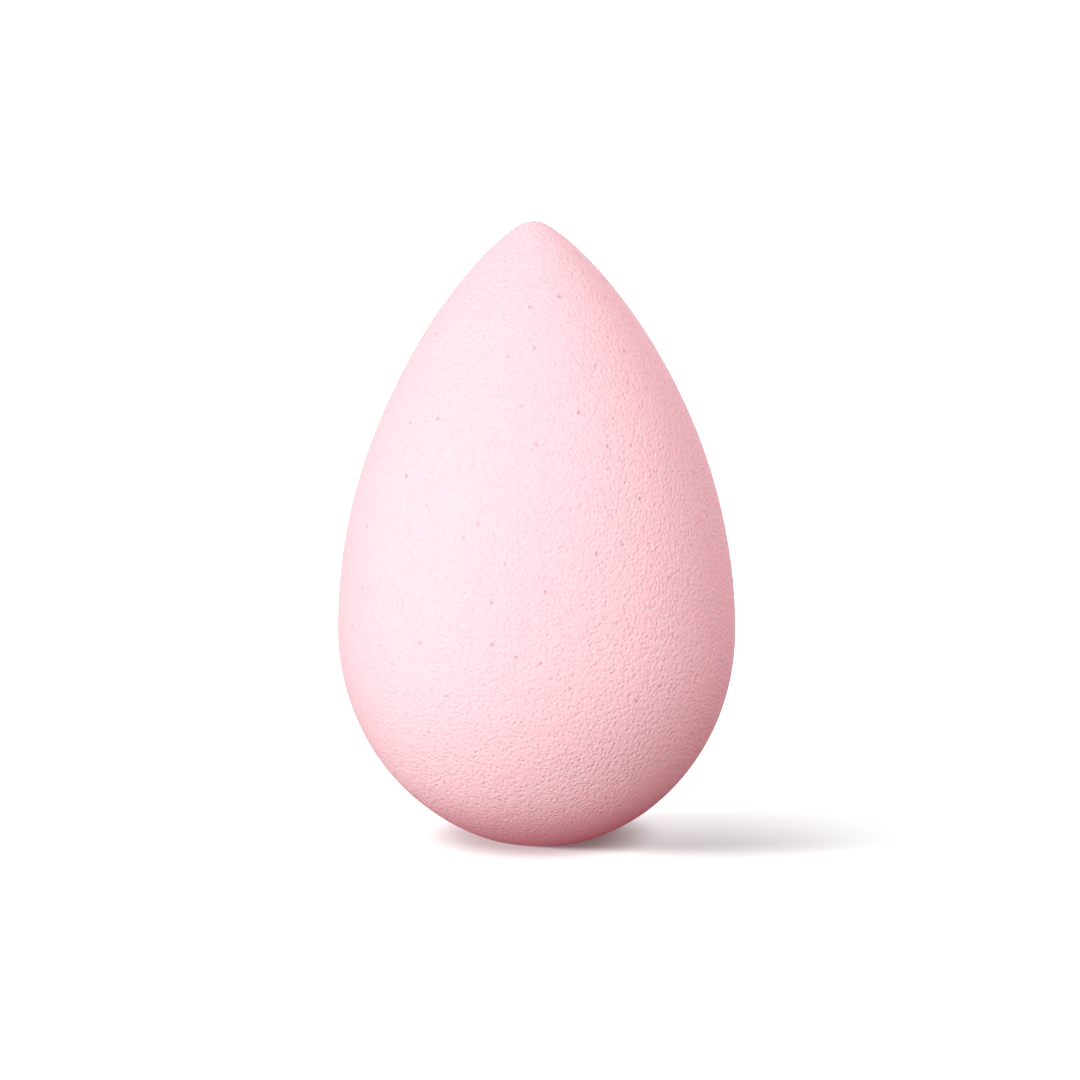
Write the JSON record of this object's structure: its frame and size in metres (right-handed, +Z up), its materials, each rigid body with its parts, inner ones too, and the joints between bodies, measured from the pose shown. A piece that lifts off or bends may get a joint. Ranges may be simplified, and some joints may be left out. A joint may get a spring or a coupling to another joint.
{
  "type": "makeup sponge",
  "caption": "Egg-shaped foam makeup sponge that stands on a small flat foot, with a full round base and a blunt pointed tip, for dabbing and blending liquid and cream make-up.",
  "frame": {"origin": "middle of the flat foot that the dry sponge stands on", "axes": "+Z up along the sponge's axis, from the foot to the pointed tip; X and Y are alike, because the sponge is round about Z"},
  "size_m": [0.0384, 0.0384, 0.06],
  "materials": {
    "foam": null
  },
  "bodies": {
    "root": {"sponge_body": "foam"}
  },
  "joints": []
}
